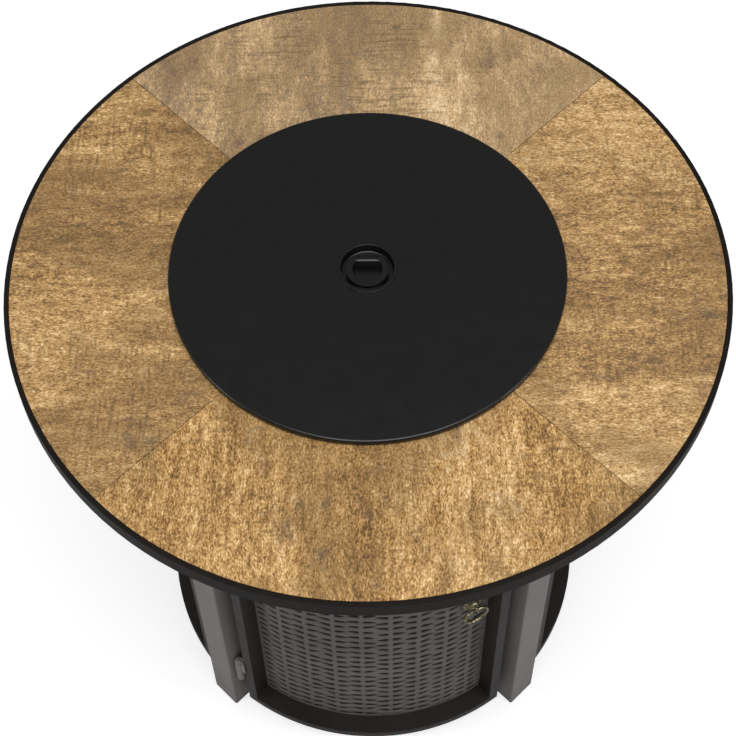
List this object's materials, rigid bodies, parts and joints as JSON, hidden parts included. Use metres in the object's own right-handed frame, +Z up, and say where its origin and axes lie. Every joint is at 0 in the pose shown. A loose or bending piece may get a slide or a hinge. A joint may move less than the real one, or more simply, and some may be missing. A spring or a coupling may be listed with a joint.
{
  "type": "fire pit",
  "caption": "Round gas fire pit table: a wood-look tiled top with a lift-off lid over a burner bowl, on a drum column with wicker-pattern panels and a hinged door.",
  "frame": {"origin": "on the floor, on the table's vertical axis", "axes": "+Z up, the door faces -Y, +X to the right of someone facing the door"},
  "size_m": [0.7111, 0.7112, 0.6657],
  "materials": {
    "wood_tile": "matt wood-look tile",
    "black_steel": "satin powder coat",
    "lid_steel": "satin black coat",
    "post_steel": "satin hammered grey-brown coat",
    "wicker_steel": "satin woven-look coat",
    "stainless": "brushed stainless steel",
    "fastener_steel": "zinc plated steel",
    "antique_brass": "antique brass",
    "valve_brass": "machined brass",
    "black_plastic": "matt black plastic",
    "electrode_ceramic": "white ceramic",
    "magnet_block": "magnet in a dark plastic case"
  },
  "bodies": {
    "column": {"tabletop_tray": "black_steel", "pan_collar": "stainless", "burner_pan": "stainless", "tile_front": "wood_tile", "tile_right": "wood_tile", "tile_back": "wood_tile", "tile_left": "wood_tile", "post_front_right": "post_steel", "post_back_right": "post_steel", "post_back_left": "post_steel", "post_front_left": "post_steel", "post_feet": "black_plastic", "panel_clips": "black_steel", "post_screws": "fastener_steel", "top_brackets": "black_steel", "deck_screws": "fastener_steel", "bottom_rail_front": "black_steel", "bottom_rail_right": "black_steel", "panel_frame_right": "black_steel", "panel_weave_right": "wicker_steel", "bottom_rail_back": "black_steel", "panel_frame_back": "black_steel", "panel_weave_back": "wicker_steel", "bottom_rail_left": "black_steel", "panel_frame_left": "black_steel", "panel_weave_left": "wicker_steel", "base_shelf": "black_steel", "bottle_collar": "black_steel", "door_magnet": "magnet_block", "hinge_post_barrels": "post_steel", "hinge_pins": "fastener_steel", "burner_ring": "stainless", "burner_hub": "stainless", "hub_nut": "stainless", "gas_pipe": "stainless", "air_mixer": "stainless", "control_plate": "black_steel", "gas_valve": "valve_brass", "valve_inlet": "valve_brass", "igniter_body": "black_plastic", "igniter_nut": "fastener_steel", "electrode_bracket": "fastener_steel", "spark_electrode": "electrode_ceramic", "flame_sensor": "fastener_steel"},
    "door": {"door_frame": "black_steel", "door_weave": "wicker_steel", "door_rosette": "antique_brass", "rosette_nut": "fastener_steel", "hinge_door_barrels": "post_steel"},
    "door_pull": {"door_pull_ring": "antique_brass"},
    "lid_body": {"lid": "lid_steel", "lid_cup": "lid_steel", "lid_pull_clip": "lid_steel"},
    "lid_pull": {"lid_pull_ring": "lid_steel"},
    "knob_washer": {"stem_washer": "fastener_steel"},
    "knob": {"valve_stem": "valve_brass", "valve_knob": "black_plastic"},
    "button": {"igniter_button": "black_plastic"},
    "clamp_pad": {"screw_pad": "black_plastic"},
    "clamp_screw": {"collar_screw": "fastener_steel"}
  },
  "joints": [
    {"name": "door_hinge", "type": "hinge", "parent": "column", "child": "door", "pos_m": [-0.15733, -0.19429, 0.331], "axis": [0, 0, -1], "range_deg": [0, 110]},
    {"name": "door_pull_swing", "type": "hinge", "parent": "door", "child": "door_pull", "pos_m": [0.11465, -0.21028, 0.318], "axis": [-0.878, -0.4787, 0], "range_deg": [-10, 95]},
    {"name": "lid_lift", "type": "slide", "parent": "column", "child": "lid_body", "axis": [0, 0, 1], "range_m": [0, 0.25]},
    {"name": "lid_pull_fold", "type": "hinge", "parent": "lid_body", "child": "lid_pull", "pos_m": [0, 0.009, 0.6625], "axis": [-1, 0, 0], "range_deg": [0, 90]},
    {"name": "knob_push", "type": "slide", "parent": "column", "child": "knob_washer", "axis": [0, 1, 0], "range_m": [0, 0.004], "stiffness_N_per_m": 500},
    {"name": "knob_turn", "type": "hinge", "parent": "knob_washer", "child": "knob", "pos_m": [-0.038, -0.195, 0.5791], "axis": [0, -1, 0], "range_deg": [0, 220]},
    {"name": "igniter_push", "type": "slide", "parent": "column", "child": "button", "axis": [0, 1, 0], "range_m": [0, 0.004], "stiffness_N_per_m": 800},
    {"name": "clamp_travel", "type": "slide", "parent": "column", "child": "clamp_pad", "axis": [0, 1, 0], "range_m": [-0.0025, 0.0075]},
    {"name": "clamp_turn", "type": "hinge", "parent": "clamp_pad", "child": "clamp_screw", "pos_m": [0, -0.153, 0.069], "axis": [0, 1, 0], "range_deg": [-728, 2168]}
  ],
  "couplings": [
    {"joint": "clamp_turn", "follows": "clamp_travel", "rad_per_m": 5026.5}
  ]
}
